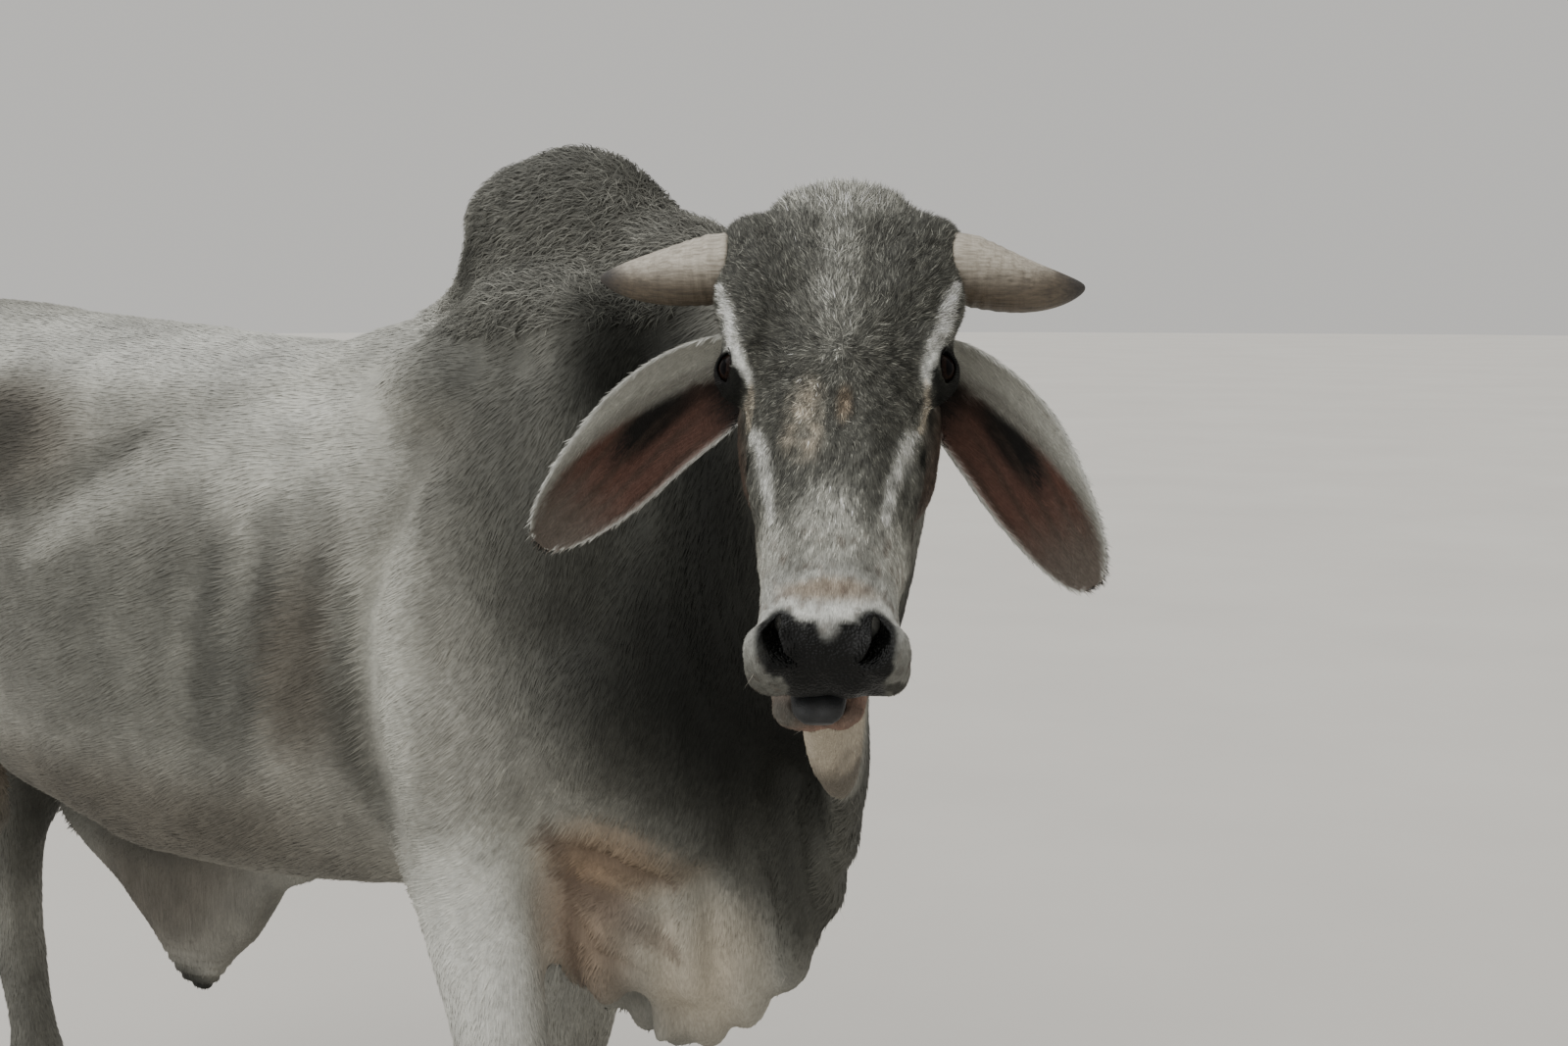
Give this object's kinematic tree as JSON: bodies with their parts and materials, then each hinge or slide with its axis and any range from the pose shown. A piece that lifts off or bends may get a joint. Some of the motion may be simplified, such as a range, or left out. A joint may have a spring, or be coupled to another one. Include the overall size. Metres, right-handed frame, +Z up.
{
  "type": "brahman bull figure",
  "caption": "Life-size standing grey Brahman bull with shoulder hump, pleated dewlap, hanging ears and short horns, head turned to its right.",
  "frame": {"origin": "on the floor, under the middle of the bounding box", "axes": "+X along the body towards the chest and head, +Y to the animal's left, +Z up"},
  "size_m": [2.4, 0.9616, 1.6739],
  "materials": {
    "hide_head": "short speckled grey hair",
    "hide_ear": "short hair outside, bare and ribbed skin inside",
    "hide_neck": "short charcoal hair",
    "hide_torso": "short pale grey hair",
    "hide_dewlap": "thin pleated skin with short hair",
    "hide_sheath": "thin hanging skin with short hair",
    "hide_leg": "short pale hair, dark at the knee",
    "hide_tail": "short pale hair",
    "horn": "dull ringed horn with a darker tip",
    "hoof": "dull dark horn",
    "eye": "wet and nearly black",
    "tongue": "moist blue-grey",
    "long_hair": "long black hair in locks"
  },
  "bodies": {
    "root": {"head": "hide_head", "neck": "hide_neck", "torso": "hide_torso", "dewlap": "hide_dewlap", "sheath": "hide_sheath", "ear_right": "hide_ear", "horn_right": "horn", "eye_right": "eye", "foreleg_right": "hide_leg", "hindleg_right": "hide_leg", "claw_fore_right_inner": "hoof", "claw_fore_right_outer": "hoof", "claw_hind_right_inner": "hoof", "claw_hind_right_outer": "hoof", "ear_left": "hide_ear", "horn_left": "horn", "eye_left": "eye", "foreleg_left": "hide_leg", "hindleg_left": "hide_leg", "claw_fore_left_inner": "hoof", "claw_fore_left_outer": "hoof", "claw_hind_left_inner": "hoof", "claw_hind_left_outer": "hoof", "tongue": "tongue", "tail_upper": "hide_tail", "tail_lower": "hide_tail", "tail_switch": "long_hair"}
  },
  "joints": []
}
